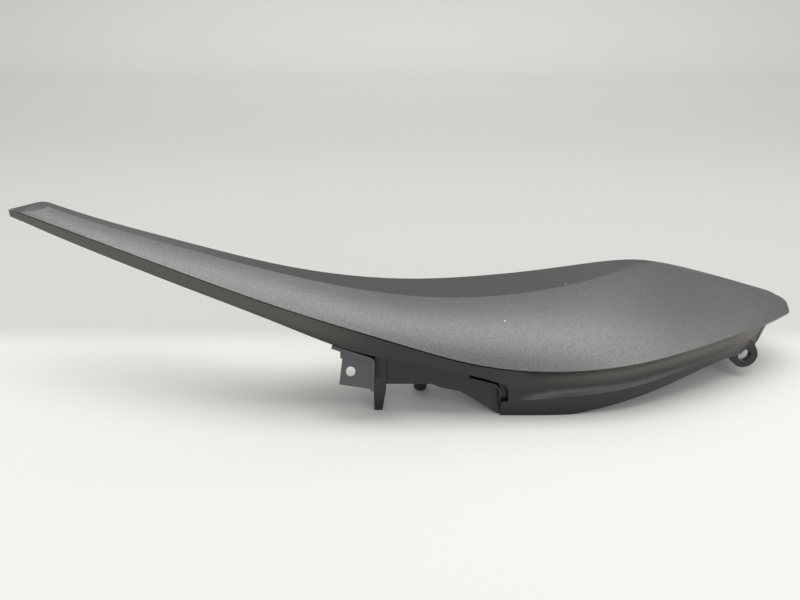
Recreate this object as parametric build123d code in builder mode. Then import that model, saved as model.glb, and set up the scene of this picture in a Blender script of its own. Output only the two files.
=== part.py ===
from build123d import *
import math
import os

# A motorcycle side cover: one injection-moulded panel with a long tapered arm on the left
# and a wide blade on the right. It lies as it does on a bench, its outer face up.
# X runs along the cover to the blade's nose, Y from the near edge to the far edge, Z up.

# Walls of the moulding
SKIN = 2.4
WALL = 2.2
RIB = 1.4
RIB_DEPTH = 6.0
EDGE_STEP = 0.5

# Ends of the guide curves, past both ends of the panel, and where the skirt takes over
GUIDE_START = -250.0
GUIDE_END = 248.0
SKIRT_START = 36.0
SKIRT_END = 218.0
LIP_END = 53.0

# Crease between the outer face and the near wall, as x, y, z
NEAR_CREASE = [
    (GUIDE_START, 21, 101.2), (-187, -6, 91.2), (-127, -28.5, 79.4), (-67, -44, 64.2), (-7, -51, 47),
    (38, -52.8, 34.2), (78, -53, 30.4), (123, -47.5, 31.5), (168, -31, 33.2), (208, -12, 34.5),
    (GUIDE_END, 13, 35.4),
]
# Crease between the outer face and the smooth far band
FAR_CREASE = [
    (GUIDE_START, 32, 106.8), (-187, 6, 95.4), (-127, -11.7, 85.4), (-67, -21.2, 73.2), (-7, -18, 59.6),
    (33, -9.7, 53.4), (78, 3, 51.4), (123, 21.8, 52.2), (158, 40, 50.4), (178, 43.4, 47.2),
    (208, 36.6, 43), (GUIDE_END, 19.6, 36.6),
]
# Outer far edge
FAR_EDGE = [
    (GUIDE_START, 37, 107), (-187, 11.6, 95.7), (-127, -4.6, 86), (-77, -10.8, 75.6), (-39, -7, 67),
    (3, 4.6, 58.8), (43, 19, 53.8), (88, 31.5, 52.7), (128, 41.4, 53.6), (161, 49.2, 50.6),
    (193, 44, 45.5), (218, 34.6, 41.5), (GUIDE_END, 21.6, 36.4),
]
# Crown of the outer face over its chord, as x, 0, height
CROWN = [
    (GUIDE_START, 0, 0.4), (-127, 0, 0.9), (-37, 0, 1.8), (38, 0, 3.8), (100, 0, 4.4), (168, 0, 3.4),
    (GUIDE_END, 0, 0.8),
]
# Lower edge of the near wall along the arm, as x, 0, z
ARM_LIP = [
    (GUIDE_START, 0, 96.3), (-187, 0, 82.9), (-127, 0, 69.9), (-67, 0, 52.6), (-39, 0, 42.6), (-7, 0, 35.6),
    (LIP_END, 0, 20.6),
]

# Ends of the panel in plan: each is a line with round corners. The tip's corners lie between
# its end and a point on each side of it.
TIP_NEAR = (-242, 17.2)
TIP_NEAR_SIDE = (-226, 10.3)
TIP_FAR = (-223.6, 25.8)
TIP_FAR_SIDE = (-214, 21.8)
TIP_NEAR_RADIUS = 1.4
TIP_FAR_RADIUS = 8.0
NOSE_NEAR = (237.6, 8)
NOSE_FAR = (241, 21)
NOSE_NEAR_RADIUS = 4.5
NOSE_FAR_RADIUS = 13.0
# The nose's straight sides touch the panel's edges this far before the near corner
NOSE_BACK = 3.6
# Length of the solid tip, and three points of the bevel between the outer face and its end
TIP_DEPTH = 7.0
TIP_BEVEL = [(-243.8, 14.9, 97.4), (-224, 25.6, 100.6), (-230.6, 11.4, 98.2)]

# Skirt under the blade's near edge: it starts at a cut-out, swells to a fold and rises to the nose
SKIRT_FOLD = [
    (SKIRT_START, 0, 7.2), (83, 0, 11.8), (106, 0, 13.3), (130, 0, 15.3), (156, 0, 18.7),
    (SKIRT_END, 0, 25.2),
]
SKIRT_FOOT = [
    (SKIRT_START, 0, -1.8), (78, 0, -1.2), (93, 0, 0.4), (113, 0, 4.2), (133, 0, 8), (153, 0, 12),
    (173, 0, 15.8), (193, 0, 17.6), (SKIRT_END, 0, 19),
]
# How far the valley lies behind the crease, as x, 0, depth
SKIRT_VALLEY = [
    (SKIRT_START, 0, 1.8), (52, 0, 2.2), (68, 0, 4.4), (100, 0, 5), (133, 0, 4.8), (178, 0, 3),
    (SKIRT_END, 0, 1.4),
]
# How far the fold and the foot lie behind the crease
SKIRT_FOLD_INSET = 1.2
SKIRT_FOOT_INSET = 0.6
# The cut-out between the arm's lip and the skirt: it comes out from behind the lip, turns down at
# the step, and the band below the fold starts a little before it
STEP = 54.0
STEP_TOP = 20.4
STEP_RISE = 2.8
BAND_START = 50.0
BAND_TOP = 9.2
STEP_RADII = [12.0, 1.0, 0.6]
# The skirt's far end is cut on a slant through these points, as x, z, and closed by a return
# that reaches back and rises on the way
SLANT = [(217.3, 33.5), (212.5, 19)]
RETURN_REACH = 16.0
RETURN_RISE = 8.0

# Far rim
RIM_DEPTH = 8.0

# Inner wall behind the arm's lip, as y, z: a leaning shoulder, an upright part, and an apron
# that leans out towards the skirt
INNER_FRONT = -44.4
SHOULDER_TOP = (-40, 39)
SHOULDER_FOOT = 26.0
APRON_TOP = 17.5
APRON_FOOT = -50.6
APRON_BEND = 5.0
INNER_START = -44.6
# Lower edge of the inner wall, as x, z
INNER_FOOT = [
    (INNER_START, 41), (-24, 34), (-22, 14), (-14, 16.4), (11, 16.4), (16, 14.4), (27, 12.4), (34, 8.8),
    (48.5, 0), (STEP + WALL, 0),
]
# Thin rim round the apron's upper corner, as x, z
APRON_RIM = [(32, 23.6), (49.4, 18.6), (49.4, 5)]
APRON_RIM_RADIUS = 7.0
APRON_RIM_WIDTH = 1.1
APRON_RIM_FRONT = -50.2

# Fixing tab, which leans back; its outline, hole and sink mark are drawn on the leaning plane,
# from the plane's origin on the edge of the frame round it
LEAN = 33.0
LEAN_ORIGIN = (-49.5, 37.8)
TAB_INSET = 2.0
TAB_THICKNESS = 2.5
TAB_OUTLINE = [
    (-39.8, 5.1), (-39.8, -0.8), (-38.7, -1), (-40.2, -15), (-22, -17.7), (-22.2, -0.9), (-25, 0.4),
]
TAB_HOLE = (-34.1, -7.9)
TAB_HOLE_DIAMETER = 5.3
TAB_SINK = (-33.3, -12.6)
TAB_SINK_RADIUS = 1.1
TAB_SINK_DEPTH = 0.4
# The frame round two sides of the tab, which reaches back to the inner wall
FRAME_PATH = [(-44.3, 5.3), (-21.8, -1.9), (-22.1, -18.6)]
FRAME_WIDTH = 1.9
FRAME_CORNER = 2.2

# Post beside the tab, whose front leans back above the neck
POST_TOP_WIDTH = 7.2
POST_FOOT_WIDTH = 4.6
POST_CENTRE = -18.4
POST_FOOT_CENTRE = -19.4
POST_NECK = 15.0
POST_TOP = 50.0
POST_PROFILE = [(-47.6, 0), (-47.6, 22), (-42.6, 37), (-42.6, POST_TOP), (-38, POST_TOP), (-42, 0)]

# Ear under the blade's near edge, which leans back a little
EAR_CENTRE = (205.7, -12.2, 14.2)
EAR_LEAN = 10.0
EAR_RADIUS = 7.9
EAR_HOLE_DIAMETER = 8.0
EAR_THICKNESS = 4.2
EAR_ROOT_WIDTH = 16.0
EAR_ROOT_SHIFT = -4.0
EAR_ROOT_RISE = 8.0

# Locating pegs on ribbed legs under the cover
PEG_PLACES = [(5.2, -26.4), (62, 16)]
PEG_CHAMFER = 1.2
PEG_RADIUS = 4.0
PEG_LENGTH = 12.0
PEG_NECK_RADIUS = 3.0
PEG_NECK_LENGTH = 3.0
LEG_FOOT_WIDTH = 10.0
LEG_TOP_WIDTH = 18.0
LEG_TOP = 70.0
LEG_RIB = 2.0

# Cross ribs under the skin
ARM_RIB_INSET = 1.6
BLADE_RIB_INSET = 8.0
RIB_PLACES = [-200, -160, -120, -80, -48, 30, 92, 124, 156, 188]

# Reach of the shapes that only cut or are cut
TALL = 120.0
PLAN_REACH = 500

# Stations of the lofts along the cover
CAP_STATIONS = [
    GUIDE_START, -215, -187, -157, -127, -97, -67, -37, -7, 23, 53, 83, 108, 133, 155, 178, 203, 226,
    GUIDE_END,
]
ARM_STATIONS = [GUIDE_START, -215, -187, -157, -127, -97, -67, -51, -39, -26, -7, 15, 35, LIP_END]
RIM_STATIONS = [-230, -200, -165, -127, -97, -67, -37, -7, 23, 53, 83, 108, 133, 155, 178, 203, 222]
TIP_STATIONS = [GUIDE_START, -238, -226, -214]
SKIRT_STATIONS = [SKIRT_START, 52, 68, 88, 108, 128, 148, 170, 192, SKIRT_END]

# Fillets of the skin's two outer edges, and how near two points are when they are the same
EDGE_RADIUS = 0.8
SAME_POINT = 0.01

# Halvings of a guide curve that find its point at an x
HALVINGS = 40


def guide(points):
    """A smooth curve through the points of one crease or edge."""
    with BuildLine() as line:
        Spline(*points)
    return line.edges()[0]


def at(curve, x):
    """The curve's point in the plane across the cover at x, by halving."""
    low, high = 0.0, 1.0
    for _ in range(HALVINGS):
        middle = (low + high) / 2
        if curve.position_at(middle).X < x:
            low = middle
        else:
            high = middle
    return curve.position_at(low)


near_crease = guide(NEAR_CREASE)
far_crease = guide(FAR_CREASE)
far_edge = guide(FAR_EDGE)
crown = guide(CROWN)
arm_lip = guide(ARM_LIP)
skirt_fold = guide(SKIRT_FOLD)
skirt_foot = guide(SKIRT_FOOT)
skirt_valley = guide(SKIRT_VALLEY)


def face_arc(x):
    """Near, middle and far point of the outer face across x, with the slope at each."""
    near, far = at(near_crease, x), at(far_crease, x)
    height = at(crown, x).Z
    run, rise = far.Y - near.Y, far.Z - near.Z
    chord = math.hypot(run, rise)
    slope = math.atan2(rise, run)
    swing = 2 * math.atan(2 * height / chord)
    middle = (
        (near.Y + far.Y) / 2 - height * math.sin(slope),
        (near.Z + far.Z) / 2 + height * math.cos(slope),
    )
    return [((near.Y, near.Z), slope + swing), (middle, slope), ((far.Y, far.Z), slope - swing)]


def sunk(point, slope, depth):
    """A point moved square into the skin by depth."""
    return (point[0] + depth * math.sin(slope), point[1] - depth * math.cos(slope))


def skin_points(x, depth):
    """Near, middle and crease points of the face arc and the far edge, sunk by depth."""
    arc = [sunk(point, slope, depth) for point, slope in face_arc(x)]
    edge = at(far_edge, x)
    return arc, (edge.Y, edge.Z - depth)


def is_at(vertex, x, point):
    """Whether a vertex lies at a point given as y, z in the plane at x."""
    return math.dist((vertex.X, vertex.Y, vertex.Z), (x, *point)) < SAME_POINT


def skin_section(x, upper, lower):
    """Section of a sheet that follows the skin, between two depths under its outer face."""
    top, top_edge = skin_points(x, upper)
    low, low_edge = skin_points(x, lower)
    with BuildSketch(Plane.YZ.offset(x)) as section:
        with BuildLine():
            ThreePointArc(*top)
            Polyline(top[2], top_edge, low_edge, low[2])
            ThreePointArc(low[2], low[1], low[0])
            Line(low[0], top[0])
        make_face()
        if upper == 0:
            outer = [v for v in section.vertices() if is_at(v, x, top[0]) or is_at(v, x, top_edge)]
            fillet(outer, EDGE_RADIUS)
    return section.sketch


def inner_section(x):
    """Section of the room under the skin, from the bench up to the middle of the sheet."""
    top, top_edge = skin_points(x, SKIN / 2)
    near = (top[0][0] + EDGE_STEP, top[0][1])
    far = (top_edge[0] - EDGE_STEP, top_edge[1])
    with BuildSketch(Plane.YZ.offset(x)) as section:
        with BuildLine():
            ThreePointArc(near, top[1], top[2])
            Polyline(top[2], far, (far[0], 0), (near[0], 0), near)
        make_face()
    return section.sketch


def meeting(first, first_x, second):
    """Plan point where the curve's tangent at first_x meets the line through two points,
    and a point far back along that tangent."""
    start, ahead = at(first, first_x), at(first, first_x + 1)
    run, rise = ahead.X - start.X, ahead.Y - start.Y
    (ax, ay), (bx, by) = second
    across, along = bx - ax, by - ay
    share = ((ax - start.X) * along - (ay - start.Y) * across) / (run * along - rise * across)
    corner = (start.X + share * run, start.Y + share * rise)
    return corner, (start.X - PLAN_REACH * run, start.Y - PLAN_REACH * rise)


def end_plane(first, second, inset):
    """Upright plane through two plan points, moved inset to its right, that looks to its right."""
    run, rise = second[0] - first[0], second[1] - first[1]
    length = math.hypot(run, rise)
    look = (rise / length, -run / length)
    origin = (first[0] + look[0] * inset, first[1] + look[1] * inset, 0)
    return Plane(origin=origin, z_dir=(look[0], look[1], 0))


# Plane of the tip's bevel, which looks up
bevel_corner, bevel_far, bevel_end = [Vector(*point) for point in TIP_BEVEL]
bevel_look = (bevel_end - bevel_corner).cross(bevel_far - bevel_corner)
bevel_plane = Plane(origin=bevel_corner, z_dir=bevel_look)

# The skin: the crowned outer face and the far band, one sheet bent along the far crease,
# with a nose that is cut in plan
with BuildPart() as skin:
    loft([skin_section(x, 0, SKIN) for x in CAP_STATIONS])
    with BuildSketch():
        with BuildLine():
            nose_touch = NOSE_NEAR[0] - NOSE_BACK
            near_corner, near_left = meeting(near_crease, nose_touch, (NOSE_NEAR, NOSE_FAR))
            far_corner, far_left = meeting(far_edge, nose_touch, (NOSE_NEAR, NOSE_FAR))
            FilletPolyline(
                near_left, near_corner, far_corner, far_left, radius=[NOSE_NEAR_RADIUS, NOSE_FAR_RADIUS]
            )
            Line(far_left, near_left)
        make_face()
    extrude(amount=TALL, mode=Mode.INTERSECT)

# The room under the skin: what stands there is cut to it, and so grows out of the sheet
with BuildPart() as room:
    loft([inner_section(x) for x in CAP_STATIONS])

# The near wall of the arm, a step back from the skin's edge
with BuildPart() as arm_wall:
    for x in ARM_STATIONS:
        with BuildSketch(Plane.YZ.offset(x)):
            with BuildLine():
                edge = at(near_crease, x)
                slope = face_arc(x)[0][1]
                front = edge.Y + EDGE_STEP
                top = edge.Z - SKIN / 2
                foot = at(arm_lip, x).Z
                inner_top = top + WALL * math.tan(slope) / 2
                back = front + WALL
                Polyline((front, top), (back, inner_top), (back, foot), (front, foot), close=True)
            make_face()
    loft()

# The far rim, a step back from the far edge
with BuildPart() as far_rim:
    for x in RIM_STATIONS:
        with BuildSketch(Plane.YZ.offset(x)):
            with BuildLine():
                edge = at(far_edge, x)
                back = edge.Y - EDGE_STEP
                top = edge.Z - SKIN / 2
                foot = edge.Z - RIM_DEPTH
                Polyline((back, top), (back, foot), (back - WALL, foot), (back - WALL, top), close=True)
            make_face()
    loft()

# The solid tip of the arm
with BuildPart() as tip:
    for x in TIP_STATIONS:
        with BuildSketch(Plane.YZ.offset(x)):
            with BuildLine():
                near, crease, edge = at(near_crease, x), at(far_crease, x), at(far_edge, x)
                foot = at(arm_lip, x).Z
                Polyline(
                    (near.Y + EDGE_STEP, near.Z - SKIN / 2),
                    (crease.Y, crease.Z - SKIN / 2),
                    (edge.Y - EDGE_STEP, edge.Z - SKIN / 2),
                    (edge.Y - EDGE_STEP, edge.Z - RIM_DEPTH),
                    (near.Y + EDGE_STEP, foot),
                    close=True,
                )
            make_face()
    loft()
    split(bisect_by=end_plane(TIP_NEAR, TIP_FAR, TIP_DEPTH), keep=Keep.BOTTOM)

# Plane of the skirt's slanted far end: its local x lies along Y, its local y up the slant
slant_run, slant_rise = SLANT[0][0] - SLANT[1][0], SLANT[0][1] - SLANT[1][1]
slant_origin = (SLANT[0][0], 0, SLANT[0][1])
slant_plane = Plane(origin=slant_origin, x_dir=(0, 1, 0), z_dir=(slant_rise, 0, -slant_run))

# The skirt: a hollow valley under the crease, a fold, and a band down to the foot. It starts at
# the cut-out and ends on the slant.
with BuildPart() as skirt:
    for x in SKIRT_STATIONS:
        with BuildSketch(Plane.YZ.offset(x)):
            with BuildLine():
                edge = at(near_crease, x)
                slope = face_arc(x)[0][1]
                fold, foot = at(skirt_fold, x).Z, at(skirt_foot, x).Z
                top = (edge.Y + EDGE_STEP, edge.Z - SKIN / 2)
                valley = (edge.Y + at(skirt_valley, x).Z, (top[1] + fold) / 2)
                bend = (edge.Y + SKIRT_FOLD_INSET, fold)
                toe = (edge.Y + SKIRT_FOOT_INSET, foot)
                ThreePointArc(top, valley, bend)
                Polyline(bend, toe, (toe[0] + WALL, foot), (bend[0] + WALL, fold))
                inner_top = (top[0] + WALL, top[1] + WALL * math.tan(slope) / 2)
                ThreePointArc((bend[0] + WALL, fold), (valley[0] + WALL, valley[1]), inner_top)
                Line(inner_top, top)
            make_face()
    loft()
    with BuildSketch(Plane.XZ.offset(TALL)):
        with BuildLine():
            behind_lip = (SKIRT_START, at(arm_lip, SKIRT_START).Z + STEP_RISE)
            FilletPolyline(
                behind_lip, (STEP, STEP_TOP), (STEP, BAND_TOP), (BAND_START, BAND_TOP),
                (BAND_START, -BAND_TOP), radius=STEP_RADII,
            )
            Polyline(
                (BAND_START, -BAND_TOP), (SKIRT_END, -BAND_TOP), (SKIRT_END, TALL), (SKIRT_START, TALL),
                behind_lip,
            )
        make_face()
    extrude(amount=-2 * TALL, mode=Mode.INTERSECT)
    split(bisect_by=slant_plane, keep=Keep.BOTTOM)

# The inner wall behind the lip. Its foot leans out as an apron and is cut on the slant.
with BuildPart() as inner_wall:
    with BuildSketch(Plane.YZ.offset(INNER_START)):
        with BuildLine():
            front = FilletPolyline(
                (SHOULDER_TOP[0], TALL), SHOULDER_TOP, (INNER_FRONT, SHOULDER_FOOT),
                (INNER_FRONT, APRON_TOP), (APRON_FOOT, 0), radius=APRON_BEND,
            )
            offset(front, amount=WALL, side=Side.LEFT)
        make_face()
    extrude(amount=STEP + WALL - INNER_START)
    with BuildSketch(Plane.XZ.offset(TALL)):
        with BuildLine():
            Polyline(*INNER_FOOT, (STEP + WALL, TALL), (INNER_START, TALL), close=True)
        make_face()
    extrude(amount=-2 * TALL, mode=Mode.INTERSECT)

# The thin rim that frames the apron's upper corner, a groove's width inside the cut-out
with BuildPart() as apron_rim:
    with BuildSketch(Plane.XZ.offset(-APRON_RIM_FRONT)):
        with BuildLine():
            FilletPolyline(*APRON_RIM, radius=APRON_RIM_RADIUS)
        trace(line_width=APRON_RIM_WIDTH)
    extrude(amount=APRON_RIM_FRONT - INNER_FRONT)

# The step where the skirt begins, and the return where it ends
with BuildPart() as returns:
    with BuildSketch(Plane.YZ.offset(STEP)):
        with BuildLine():
            step_front = at(near_crease, STEP).Y + at(skirt_valley, STEP).Z + WALL / 2
            step_back = INNER_FRONT + WALL
            Polyline((step_front, 0), (step_back, 0), (step_back, TALL), (step_front, TALL), close=True)
        make_face()
    extrude(amount=WALL)
    with BuildSketch(slant_plane):
        with BuildLine():
            end_front = at(near_crease, SLANT[1][0]).Y + SKIRT_FOOT_INSET + WALL / 2
            end_foot = -math.dist(*SLANT)
            end_back = end_front + RETURN_REACH
            Polyline(
                (end_front, end_foot), (end_back, end_foot + RETURN_RISE), (end_back, TALL),
                (end_front, TALL), close=True,
            )
        make_face()
    extrude(amount=-WALL)

# Plane of the frame's front round the tab, which leans back
lean_plane = Plane(
    origin=(0, *LEAN_ORIGIN), x_dir=(1, 0, 0),
    z_dir=(0, -math.cos(math.radians(LEAN)), math.sin(math.radians(LEAN))),
)

# The leaning tab with its hole, and the frame round two sides of it, as deep as the inner wall
with BuildPart() as bracket:
    with BuildSketch(lean_plane.offset(-TAB_INSET)):
        with BuildLine():
            Polyline(*TAB_OUTLINE, close=True)
        make_face()
    extrude(amount=TAB_THICKNESS / math.cos(math.radians(LEAN)), dir=(0, 1, 0))
    with BuildSketch(lean_plane.offset(-TAB_INSET)):
        with Locations(TAB_HOLE):
            Circle(TAB_HOLE_DIAMETER / 2)
    extrude(amount=-2 * TAB_THICKNESS, mode=Mode.SUBTRACT)
    with BuildSketch(lean_plane.offset(-TAB_INSET)):
        with Locations(TAB_SINK):
            Circle(TAB_SINK_RADIUS)
    extrude(amount=-TAB_SINK_DEPTH, mode=Mode.SUBTRACT)
    with BuildSketch(lean_plane):
        with BuildLine():
            FilletPolyline(*FRAME_PATH, radius=FRAME_CORNER)
        trace(line_width=FRAME_WIDTH)
    extrude(amount=TALL, dir=(0, 1, 0))
    split(bisect_by=Plane.XZ.offset(-INNER_FRONT - WALL / 2), keep=Keep.TOP)

# The post, narrow at the foot, with a front that leans back above the neck
with BuildPart() as post:
    with BuildSketch(Plane.XZ.offset(TALL)):
        with BuildLine():
            Polyline(
                (POST_FOOT_CENTRE - POST_FOOT_WIDTH / 2, 0),
                (POST_FOOT_CENTRE + POST_FOOT_WIDTH / 2, 0),
                (POST_CENTRE + POST_TOP_WIDTH / 2, POST_NECK),
                (POST_CENTRE + POST_TOP_WIDTH / 2, POST_TOP),
                (POST_CENTRE - POST_TOP_WIDTH / 2, POST_TOP),
                (POST_CENTRE - POST_TOP_WIDTH / 2, POST_NECK),
                close=True,
            )
        make_face()
    extrude(amount=-2 * TALL)
    with BuildSketch(Plane.YZ.offset(-TALL)):
        with BuildLine():
            Polyline(*POST_PROFILE, close=True)
        make_face()
    extrude(amount=2 * TALL, mode=Mode.INTERSECT)

# Plane of the ear's front, which leans back a little
ear_plane = Plane(
    origin=EAR_CENTRE, x_dir=(1, 0, 0),
    z_dir=(0, -math.cos(math.radians(EAR_LEAN)), math.sin(math.radians(EAR_LEAN))),
)

# The ear: a round plate that hangs from the skirt's foot by a root as wide as the plate
with BuildPart() as ear:
    with BuildSketch(ear_plane):
        Circle(EAR_RADIUS)
        with Locations((EAR_ROOT_SHIFT, EAR_ROOT_RISE)):
            Rectangle(EAR_ROOT_WIDTH, SKIN)
        make_hull()
    extrude(amount=-EAR_THICKNESS)

# Each locating peg: a grooved pin on a leg of two crossed ribs that widens up to the skin
with BuildPart() as legs:
    for x, y in PEG_PLACES:
        with BuildSketch(Plane(origin=(x, y, 0), x_dir=(1, 0, 0), z_dir=(0, -1, 0))):
            with BuildLine():
                Polyline(
                    (0, 0),
                    (PEG_RADIUS - PEG_CHAMFER, 0),
                    (PEG_RADIUS, PEG_CHAMFER),
                    (PEG_RADIUS, PEG_LENGTH - PEG_NECK_LENGTH),
                    (PEG_NECK_RADIUS, PEG_LENGTH - PEG_NECK_LENGTH),
                    (PEG_NECK_RADIUS, PEG_LENGTH),
                    (LEG_FOOT_WIDTH / 2, PEG_LENGTH),
                    (LEG_FOOT_WIDTH / 2, PEG_LENGTH + LEG_RIB),
                    (0, PEG_LENGTH + LEG_RIB),
                    close=True,
                )
            make_face()
        revolve(axis=Axis((x, y, 0), (0, 0, 1)))
        for look in ((0, -1, 0), (1, 0, 0)):
            across = (1, 0, 0) if look[0] == 0 else (0, 1, 0)
            with BuildSketch(Plane(origin=(x, y, 0), x_dir=across, z_dir=look)):
                with BuildLine():
                    Polyline(
                        (-LEG_FOOT_WIDTH / 2, PEG_LENGTH), (LEG_FOOT_WIDTH / 2, PEG_LENGTH),
                        (LEG_TOP_WIDTH / 2, LEG_TOP), (-LEG_TOP_WIDTH / 2, LEG_TOP), close=True,
                    )
                make_face()
            extrude(amount=LEG_RIB / 2, both=True)

# Cross ribs, which follow the skin and stop short of the skirt's valley
with BuildPart() as ribs:
    for x in RIB_PLACES:
        inset = ARM_RIB_INSET if x < SKIRT_START else BLADE_RIB_INSET
        with BuildSketch(Plane.YZ.offset(x)):
            with BuildLine():
                arc, edge = skin_points(x, SKIN)
                low = [(y, z - RIB_DEPTH) for y, z in (*arc, edge)]
                ThreePointArc(*low[:3])
                Polyline(low[2], low[3], (low[3][0], TALL), (low[0][0], TALL), low[0])
            make_face()
            with Locations((at(near_crease, x).Y + inset - TALL / 2, TALL / 2)):
                Rectangle(TALL, 2 * TALL, mode=Mode.SUBTRACT)
        extrude(amount=RIB / 2, both=True)

# The whole moulding: what lies inside is cut to the room. The tip's end and bevel, and the ear's
# hole, which just grazes the skirt's foot, are cut last.
with BuildPart() as side_cover:
    add(inner_wall)
    add(apron_rim)
    add(returns)
    add(post)
    add(legs)
    add(ribs)
    add(room, mode=Mode.INTERSECT)
    add(arm_wall)
    add(far_rim)
    add(tip)
    add(skirt)
    add(bracket)
    add(ear)
    add(skin)
    with BuildSketch():
        with BuildLine():
            FilletPolyline(
                TIP_NEAR_SIDE, TIP_NEAR, TIP_FAR, TIP_FAR_SIDE, radius=[TIP_NEAR_RADIUS, TIP_FAR_RADIUS]
            )
            Polyline(
                TIP_FAR_SIDE, (TIP_FAR_SIDE[0], PLAN_REACH), (PLAN_REACH, PLAN_REACH),
                (PLAN_REACH, -PLAN_REACH), (TIP_NEAR_SIDE[0], -PLAN_REACH), TIP_NEAR_SIDE,
            )
        make_face()
    extrude(amount=TALL, mode=Mode.INTERSECT)
    split(bisect_by=bevel_plane, keep=Keep.BOTTOM)
    with BuildSketch(ear_plane):
        Circle(EAR_HOLE_DIAMETER / 2)
    extrude(amount=2 * EAR_THICKNESS, both=True, mode=Mode.SUBTRACT)

solid = side_cover.part
box = solid.bounding_box()
centre = box.center()
solid = solid.moved(Location((-centre.X, -centre.Y, -box.min.Z)))
print("solids", len(solid.solids()), "valid", solid.is_valid, "volume", solid.volume)
print("box", box, "shift", -centre.X, -centre.Y, -box.min.Z)
print("centre of mass", solid.center(CenterOf.MASS))
os.makedirs("parts", exist_ok=True)
solid.label = "side_cover"
export_step(solid, "parts/side_cover.step")
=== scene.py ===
import math
import bmesh
import bpy
import numpy as np
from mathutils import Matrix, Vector


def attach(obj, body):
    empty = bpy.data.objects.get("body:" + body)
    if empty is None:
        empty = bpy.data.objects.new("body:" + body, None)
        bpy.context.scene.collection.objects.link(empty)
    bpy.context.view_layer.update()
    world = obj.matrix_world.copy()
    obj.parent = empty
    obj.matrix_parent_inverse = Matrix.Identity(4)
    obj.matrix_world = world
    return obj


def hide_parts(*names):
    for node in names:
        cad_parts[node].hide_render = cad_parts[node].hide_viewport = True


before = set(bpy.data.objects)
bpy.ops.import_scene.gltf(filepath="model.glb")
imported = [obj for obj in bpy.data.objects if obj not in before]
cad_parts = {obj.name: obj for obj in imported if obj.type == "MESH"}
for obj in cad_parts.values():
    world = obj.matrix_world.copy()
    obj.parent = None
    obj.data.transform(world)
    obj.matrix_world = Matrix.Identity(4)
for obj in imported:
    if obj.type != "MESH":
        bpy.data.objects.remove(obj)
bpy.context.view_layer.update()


# The side cover is one black injection moulding. Its outer face carries a fine moulded grain, and
# its far band, walls and inner parts are smoother. A screw through the tab, a stud through the ear
# and two pegs pressed into grommets hold it on the motorcycle.

# Creases of the outer face in mm, and the shift that centres the cover on its footprint
SHIFT = np.array([0.2728, 5.2292])
NEAR_CREASE = np.array([
    (-250, 21, 101.2), (-187, -6, 91.2), (-127, -28.5, 79.4), (-67, -44, 64.2), (-7, -51, 47),
    (38, -52.8, 34.2), (78, -53, 30.4), (123, -47.5, 31.5), (168, -31, 33.2), (208, -12, 34.5),
    (248, 13, 35.4),
])
FAR_CREASE = np.array([
    (-250, 32, 106.8), (-187, 6, 95.4), (-127, -11.7, 85.4), (-67, -21.2, 73.2), (-7, -18, 59.6),
    (33, -9.7, 53.4), (78, 3, 51.4), (123, 21.8, 52.2), (158, 40, 50.4), (178, 43.4, 47.2),
    (208, 36.6, 43), (248, 19.6, 36.6),
])


def through(points, x):
    """The smooth curve through points (x, values...), a natural cubic spline, read at x.

    On each span it is a*p + b*q + ((a^3 - a)*r + (b^3 - b)*s) * h^2 / 6, where a and b are the
    shares of the span on both sides of x, and r and s the second slopes at its two ends."""
    knots, values = points[:, 0], points[:, 1:]
    h = np.diff(knots)
    system = np.eye(len(knots))
    right = np.zeros_like(values)
    inner = np.arange(1, len(knots) - 1)
    system[inner, inner - 1] = h[:-1]
    system[inner, inner] = 2 * (h[:-1] + h[1:])
    system[inner, inner + 1] = h[1:]
    step = np.diff(values, axis=0) / h[:, None]
    right[1:-1] = 6 * np.diff(step, axis=0)
    bend = np.linalg.solve(system, right)
    span = np.clip(np.searchsorted(knots, x) - 1, 0, len(h) - 1)
    b = ((x - knots[span]) / h[span])[:, None]
    a = 1 - b
    cubic = (a ** 3 - a) * bend[span] + (b ** 3 - b) * bend[span + 1]
    return a * values[span] + b * values[span + 1] + cubic * h[span][:, None] ** 2 / 6


class Maths:
    """A socket with the operators that add the Math nodes they stand for."""

    def __init__(self, nodes, socket):
        self.nodes = nodes
        self.socket = socket

    def do(self, operation, *values):
        return Maths(self.nodes, self.nodes.math(operation, *values))

    def __add__(self, other):
        return self.do("ADD", self, other)

    def __sub__(self, other):
        return self.do("SUBTRACT", self, other)

    def __rsub__(self, other):
        return self.do("SUBTRACT", other, self)

    def __mul__(self, other):
        return self.do("MULTIPLY", self, other)

    __rmul__ = __mul__

    def __truediv__(self, other):
        return self.do("DIVIDE", self, other)

    def unsigned(self):
        return self.do("ABSOLUTE", self)

    def clamp(self):
        """Kept between 0 and 1."""
        return self.do("MINIMUM", self.do("MAXIMUM", self, 0), 1)

    def soft(self, low, high):
        """0 up to low, 1 from high, and a smooth step between them."""
        share = ((self - low) / (high - low)).clamp()
        return share * share * (3 - 2 * share)


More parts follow.
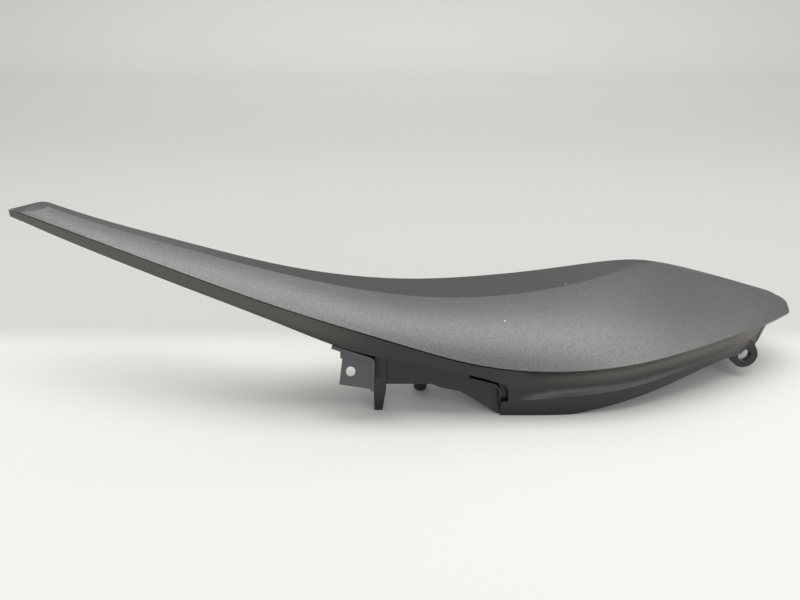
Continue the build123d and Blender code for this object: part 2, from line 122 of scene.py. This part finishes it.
class Nodes:
    """A material's node tree, filled by name."""

    def __init__(self, name):
        self.material = bpy.data.materials.new(name)
        self.material.use_nodes = True
        self.tree = self.material.node_tree
        self.tree.nodes.clear()

    def add(self, kind, settings=None, **sockets):
        """A node of this kind, its settings first, then the values or links of its sockets.

        A socket is given by its name, or by its place among the inputs after an underscore."""
        node = self.tree.nodes.new(kind)
        for key, value in (settings or {}).items():
            setattr(node, key, value)
        for key, value in sockets.items():
            socket = node.inputs[int(key[1:])] if key[1:].isdigit() else node.inputs[key.replace("_", " ")]
            if isinstance(value, Maths):
                value = value.socket
            if isinstance(value, bpy.types.NodeSocket):
                self.tree.links.new(value, socket)
            else:
                socket.default_value = value
        return node

    def math(self, operation, *values):
        sockets = {f"_{index}": value for index, value in enumerate(values)}
        return self.add("ShaderNodeMath", {"operation": operation}, **sockets).outputs[0]

    def value(self, node, output=0):
        return Maths(self, node.outputs[output])

    def noise(self, place, **sockets):
        return self.value(self.add("ShaderNodeTexNoise", Vector=place, **sockets))

    def attribute(self, name):
        return self.value(self.add("ShaderNodeAttribute", {"attribute_name": name}), 2)

    def colour(self, share, first, second):
        """A mix of two colours by a share."""
        return self.add("ShaderNodeMix", {"data_type": "RGBA"}, _0=share, _6=first, _7=second).outputs[2]

    def near(self, place, spot, inner, outer):
        """1 within inner of a spot, 0 beyond outer."""
        far = self.value(self.add("ShaderNodeVectorMath", {"operation": "DISTANCE"}, _0=place, _1=spot), 1)
        return 1 - far.soft(inner, outer)


# Where the grain starts: a half circle at the arm's end, then a line across the arm's run
GRAIN_END = (-0.2219, 0.0190, 0.0986)
GRAIN_END_RADIUS = 0.0071
GRAIN_END_BLUR = 0.0002
ARM_RUN = 0.919
ARM_FALL = 0.394
GRAIN_START = (-0.2117, -0.2113)
BAND_GRAIN_START = (0.12, 0.17)

# The grain: pebbles and finer grit, as noises with so many waves to the metre
PEBBLES = 1500.0
GRIT = 3400.0
GRIT_SHARE = 0.5
GRAIN_CONTRAST = 3.0
GRAIN_RELIEF = 0.45
GRAIN_DEPTH = 0.00012
GRAIN_DARK = (0.0, 0.0, 0.0, 1)
GRAIN_LIGHT = (0.030, 0.030, 0.031, 1)
GRAIN_ROUGH = 0.42
GRAIN_ROUGH_SWING = -0.2
GRAIN_GLOSS = 0.7

# The smooth plastic, and the walls' painted reflection: how far under the crease, and where along the
# cover
SMOOTH_WAVES = 55.0
SMOOTH_RELIEF = 0.25
SMOOTH_DEPTH = 0.0001
SMOOTH_TONE = (0.008, 0.0078, 0.0074, 1)
SMOOTH_ROUGH = 0.33
SMOOTH_ROUGH_SWING = 0.08
SMOOTH_GLOSS = 0.5
PAINTED_REFLECTION_TONE = (0.068, 0.062, 0.054, 1)
REFLECTION_TOP = (-0.0005, 0.001)
REFLECTION_FOOT = (0.006, 0.016)
ARM_REFLECTION_SHARE = 0.8
ARM_REFLECTION_END = (-0.070, -0.005)
BLADE_REFLECTION_START = (0.04, 0.12)

# Two white specks, and a short scratch that runs along the cover and slants to its near edge
SPECK_CORE = 0.0002
FIRST_SPECK = (0.0964, 0.0166, 0.0517)
FIRST_SPECK_RIM = 0.0006
SECOND_SPECK = (0.0532, -0.0212, 0.0470)
SECOND_SPECK_RIM = 0.0007
CHIP_TONE = (0.3, 0.3, 0.29, 1)
SCRATCH_X = 0.0783
SCRATCH_Y = -0.0084
SCRATCH_RUN = 0.912
SCRATCH_FALL = 0.41
SCRATCH_HALF_LENGTH = (0.0018, 0.003)
SCRATCH_HALF_WIDTH = (0.0003, 0.0006)
SCRATCH_DEPTH = 4
SCRATCH_SHARE = 0.7


def moulding():
    """Black moulded plastic: fine grain where the attribute "outer face" is 1, smooth elsewhere.
    Its walls carry a painted warm reflection of the bench close under the near crease."""
    nodes = Nodes("black moulded plastic")
    place = nodes.add("ShaderNodeTexCoord").outputs["Object"]
    axes = nodes.add("ShaderNodeSeparateXYZ", Vector=place)
    x = nodes.value(axes, 0)
    y = nodes.value(axes, 1)
    face = nodes.attribute("outer face")
    band = nodes.attribute("far band")
    below = nodes.attribute("below crease")

    along = x * ARM_RUN - y * ARM_FALL
    inner = GRAIN_END_RADIUS - GRAIN_END_BLUR
    started = nodes.near(place, GRAIN_END, inner, GRAIN_END_RADIUS + GRAIN_END_BLUR)
    grained = face * (started + along.soft(*GRAIN_START)).clamp() + band * x.soft(*BAND_GRAIN_START)

    pebble = nodes.noise(place, Scale=PEBBLES, Detail=3.0, Roughness=0.65)
    fine = nodes.noise(place, Scale=GRIT, Detail=2.0)
    wave = nodes.noise(place, Scale=SMOOTH_WAVES, Detail=2.0)
    speck = ((pebble - 0.5) * GRAIN_CONTRAST + (fine - 0.5) * GRAIN_CONTRAST + 0.5).clamp()

    first_chip = nodes.near(place, FIRST_SPECK, SPECK_CORE, FIRST_SPECK_RIM)
    chips = first_chip + nodes.near(place, SECOND_SPECK, SPECK_CORE, SECOND_SPECK_RIM)
    lengthways = ((x - SCRATCH_X) * SCRATCH_RUN - (y - SCRATCH_Y) * SCRATCH_FALL).unsigned()
    across = ((x - SCRATCH_X) * SCRATCH_FALL + (y - SCRATCH_Y) * SCRATCH_RUN).unsigned()
    long_enough = 1 - lengthways.soft(*SCRATCH_HALF_LENGTH)
    scratch = long_enough * (1 - across.soft(*SCRATCH_HALF_WIDTH)) * face

    height = pebble + fine * GRIT_SHARE - scratch * SCRATCH_DEPTH
    bump = nodes.add("ShaderNodeBump", Strength=GRAIN_RELIEF, Distance=GRAIN_DEPTH, Height=height)
    grain_tone = nodes.colour(speck, GRAIN_DARK, GRAIN_LIGHT)
    scratched_tone = nodes.colour(scratch * SCRATCH_SHARE, grain_tone, SMOOTH_TONE)
    grain = nodes.add(
        "ShaderNodeBsdfPrincipled", Base_Color=nodes.colour(chips, scratched_tone, CHIP_TONE),
        Roughness=(speck - 0.5) * GRAIN_ROUGH_SWING + GRAIN_ROUGH,
        Normal=bump.outputs[0], Specular_IOR_Level=GRAIN_GLOSS,
    )

    faint = nodes.add("ShaderNodeBump", Strength=SMOOTH_RELIEF, Distance=SMOOTH_DEPTH, Height=fine)
    # A painted reflection of the bench: a warm pale tone on the walls close under the near crease.
    reflection_band = below.soft(*REFLECTION_TOP) * (1 - below.soft(*REFLECTION_FOOT))
    painted_reflection = reflection_band * ((1 - x.soft(*ARM_REFLECTION_END)) * ARM_REFLECTION_SHARE + x.soft(*BLADE_REFLECTION_START))
    smooth_tone_with_reflection = nodes.colour(painted_reflection, SMOOTH_TONE, PAINTED_REFLECTION_TONE)
    smooth = nodes.add(
        "ShaderNodeBsdfPrincipled", Base_Color=nodes.colour(chips, smooth_tone_with_reflection, CHIP_TONE),
        Roughness=(wave - 0.5) * SMOOTH_ROUGH_SWING + SMOOTH_ROUGH,
        Normal=faint.outputs[0], Specular_IOR_Level=SMOOTH_GLOSS,
    )

    mixed = nodes.add("ShaderNodeMixShader", _0=grained, _1=smooth.outputs[0], _2=grain.outputs[0])
    nodes.add("ShaderNodeOutputMaterial", Surface=mixed.outputs[0])
    return nodes.material


# Corners of the mesh closer than this, in metres, are one corner
JOIN_REACH = 1e-6


def joined_copy(source, name):
    """A copy of a part's mesh, its loose triangles joined, each corner shaded as it was before."""
    mesh = source.data.copy()
    look = np.empty(3 * len(mesh.loops))
    mesh.corner_normals.foreach_get("vector", look)
    mesh.attributes.new("look", "FLOAT_VECTOR", "CORNER").data.foreach_set("vector", look)
    work = bmesh.new()
    work.from_mesh(mesh)
    bmesh.ops.remove_doubles(work, verts=work.verts, dist=JOIN_REACH)
    work.to_mesh(mesh)
    work.free()
    look = np.empty(3 * len(mesh.loops))
    mesh.attributes["look"].data.foreach_get("vector", look)
    mesh.attributes.remove(mesh.attributes["look"])
    mesh.shade_smooth()
    mesh.normals_split_custom_set(look.reshape(-1, 3).tolist())
    piece = bpy.data.objects.new(name, mesh)
    bpy.context.scene.collection.objects.link(piece)
    return piece


def rows(items, name):
    """A three-part property of all items of a mesh, one row for each item."""
    values = np.empty(3 * len(items))
    items.foreach_get(name, values)
    return values.reshape(-1, 3)


def add_attribute(mesh, name, domain, values):
    mesh.attributes.new(name, "FLOAT", domain).data.foreach_set("value", values.astype(float))


# Limits for marking the mesh, in mm, apart from the upward part of a normal that looks up. The
# arm's end is what lies before TIP_START, on the scale of the creases.
MM = 1000
LOOKS_UP = 0.3
FACE_DROP = 0.8
TIP_DROP = 3
TIP_START = -205
WALL_REACH = 9


def mark_faces(mesh):
    """Sets "outer face" to 1 on the polygons that look up and lie between the creases, no lower
    than FACE_DROP under the line between them, or TIP_DROP at the arm's end. Sets "far band" to 1
    on those that look up beyond the far crease, and "below crease" to a point's height in metres
    under the near crease, or to 1 where that crease is further than WALL_REACH away."""
    centre = rows(mesh.polygons, "center") * MM
    facing = rows(mesh.polygons, "normal")
    x = centre[:, 0] - SHIFT[0]
    y = centre[:, 1] - SHIFT[1]
    near = through(NEAR_CREASE, x)
    far = through(FAR_CREASE, x)
    share = (y - near[:, 0]) / (far[:, 0] - near[:, 0])
    chord = near[:, 1] + share * (far[:, 1] - near[:, 1])
    drop = np.where(x < TIP_START, TIP_DROP, FACE_DROP)
    up = (facing[:, 2] > LOOKS_UP) & (centre[:, 2] > chord - drop)
    add_attribute(mesh, "outer face", "FACE", up & (share > 0) & (share < 1))
    add_attribute(mesh, "far band", "FACE", up & (share >= 1))

    point = rows(mesh.vertices, "co") * MM
    crease = through(NEAR_CREASE, point[:, 0] - SHIFT[0])
    beside = np.abs(point[:, 1] - SHIFT[1] - crease[:, 0]) < WALL_REACH
    below = (crease[:, 1] - point[:, 2]) / MM
    add_attribute(mesh, "below crease", "POINT", np.where(beside, below, 1))


cover = joined_copy(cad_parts["side_cover"], "cover_moulding")
mark_faces(cover.data)
cover.data.materials.clear()
cover.data.materials.append(moulding())
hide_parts("side_cover")
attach(cover, "root")


# The bench is pale and matt. Just behind the cover its tone turns darker as painted shade, far behind
# it turns lighter again as painted light, and far behind it bends up gently.

SWEEP_START = 1.2
SWEEP_RADIUS = 0.5
SWEEP_SLOPE = 60
SWEEP_POINTS = 13
SWEEP_LENGTH = 0.5
BENCH_REACH = 1.8
BENCH_FRONT = 2.4


def sweep():
    """A profile in y and z, drawn out along x as a grid: flat, an arc y = s + r*sin(t),
    z = r*(1 - cos(t)), and a straight rise at the arc's last slope."""
    turn = np.linspace(0, math.radians(SWEEP_SLOPE), SWEEP_POINTS)
    y = np.concatenate(([-BENCH_FRONT], SWEEP_START + SWEEP_RADIUS * np.sin(turn)))
    z = np.concatenate(([0], SWEEP_RADIUS * (1 - np.cos(turn))))
    y = np.append(y, y[-1] + SWEEP_LENGTH * math.cos(turn[-1]))
    z = np.append(z, z[-1] + SWEEP_LENGTH * math.sin(turn[-1]))
    x = np.array([-BENCH_REACH, BENCH_REACH])
    grid = np.stack([np.repeat(x, len(y)), np.tile(y, 2), np.tile(z, 2)], axis=1)
    first = np.arange(len(y) - 1)
    faces = np.stack([first, first + len(y), first + len(y) + 1, first + 1], axis=1)
    mesh = bpy.data.meshes.new("bench")
    mesh.from_pydata(grid.tolist(), [], faces.tolist())
    mesh.shade_smooth()
    board = bpy.data.objects.new("bench", mesh)
    bpy.context.scene.collection.objects.link(board)
    return board


FRONT_TONE = (0.375, 0.370, 0.358, 1)
SHADE_EDGE = (0.02, 0.055)
PAINTED_SHADE_TONE = (0.285, 0.282, 0.275, 1)
PAINTED_LIGHT_TONE = (0.47, 0.465, 0.453, 1)
PAINTED_LIGHT_START = (0.5, 1.6)
BENCH_ROUGH = 0.9
BENCH_GLOSS = 0.2


def pale_board():
    """Plain matt board, lighter in front, darker from just behind the cover as painted shade, and lighter
    again far behind as painted light.
    """
    nodes = Nodes("pale board")
    place = nodes.add("ShaderNodeTexCoord").outputs["Object"]
    y = nodes.value(nodes.add("ShaderNodeSeparateXYZ", Vector=place), 1)
    # Painted shade darkens the board from just behind the cover, and painted light brightens it far
    # behind.
    behind = nodes.colour(y.soft(*PAINTED_LIGHT_START), PAINTED_SHADE_TONE, PAINTED_LIGHT_TONE)
    shader = nodes.add(
        "ShaderNodeBsdfPrincipled", Base_Color=nodes.colour(y.soft(*SHADE_EDGE), FRONT_TONE, behind),
        Roughness=BENCH_ROUGH, Specular_IOR_Level=BENCH_GLOSS,
    )
    nodes.add("ShaderNodeOutputMaterial", Surface=shader.outputs[0])
    return nodes.material


bench = sweep()
bench.data.materials.append(pale_board())


# Soft light: a wide panel overhead, a fainter one behind, a cool window in front, a small light
# on the right, and an even room.

def panel(name, place, width, depth, power, colour):
    """A rectangular soft light at a place, turned to the middle of the cover's footprint."""
    data = bpy.data.lights.new(name, "AREA")
    data.shape = "RECTANGLE"
    data.size = width
    data.size_y = depth
    data.energy = power
    data.color = colour
    lamp = bpy.data.objects.new(name, data)
    lamp.location = place
    lamp.rotation_euler = (Vector((0, 0, 0)) - Vector(place)).to_track_quat("-Z", "Y").to_euler()
    bpy.context.scene.collection.objects.link(lamp)


panel("overhead light", (0, 0.14, 1.25), width=2.3, depth=0.66, power=34, colour=(1, 0.99, 0.97))
panel("light behind", (0, 1.13, 1.45), width=2.6, depth=0.85, power=10, colour=(1, 0.99, 0.98))
panel("window", (0.1, -1.55, 0.95), width=2.4, depth=0.5, power=11.5, colour=(0.88, 0.93, 1))
panel("side light", (0.93, -0.63, 1.0), width=0.8, depth=0.8, power=4, colour=(1, 1, 1))

ROOM_TONE = (1, 0.99, 0.97, 1)
ROOM_LIGHT = 0.7
world = bpy.data.worlds.new("room")
bpy.context.scene.world = world
world.use_nodes = True
background = world.node_tree.nodes["Background"]
background.inputs["Color"].default_value = ROOM_TONE
background.inputs["Strength"].default_value = ROOM_LIGHT


# The camera looks down on the cover at 28 degrees, as the photo's does.

CAMERA_PLACE = (-0.0067272, -0.3257708, 0.224)
CAMERA_TURN = 61.8
FILM_WIDTH = 36
LENS = 27.72
view = bpy.data.objects.new("camera", bpy.data.cameras.new("camera"))
view.location = CAMERA_PLACE
view.rotation_euler = (math.radians(CAMERA_TURN), 0, 0)
view.data.sensor_width = FILM_WIDTH
view.data.lens = LENS
bpy.context.scene.collection.objects.link(view)
bpy.context.scene.camera = view
bpy.context.scene.view_settings.view_transform = "Standard"
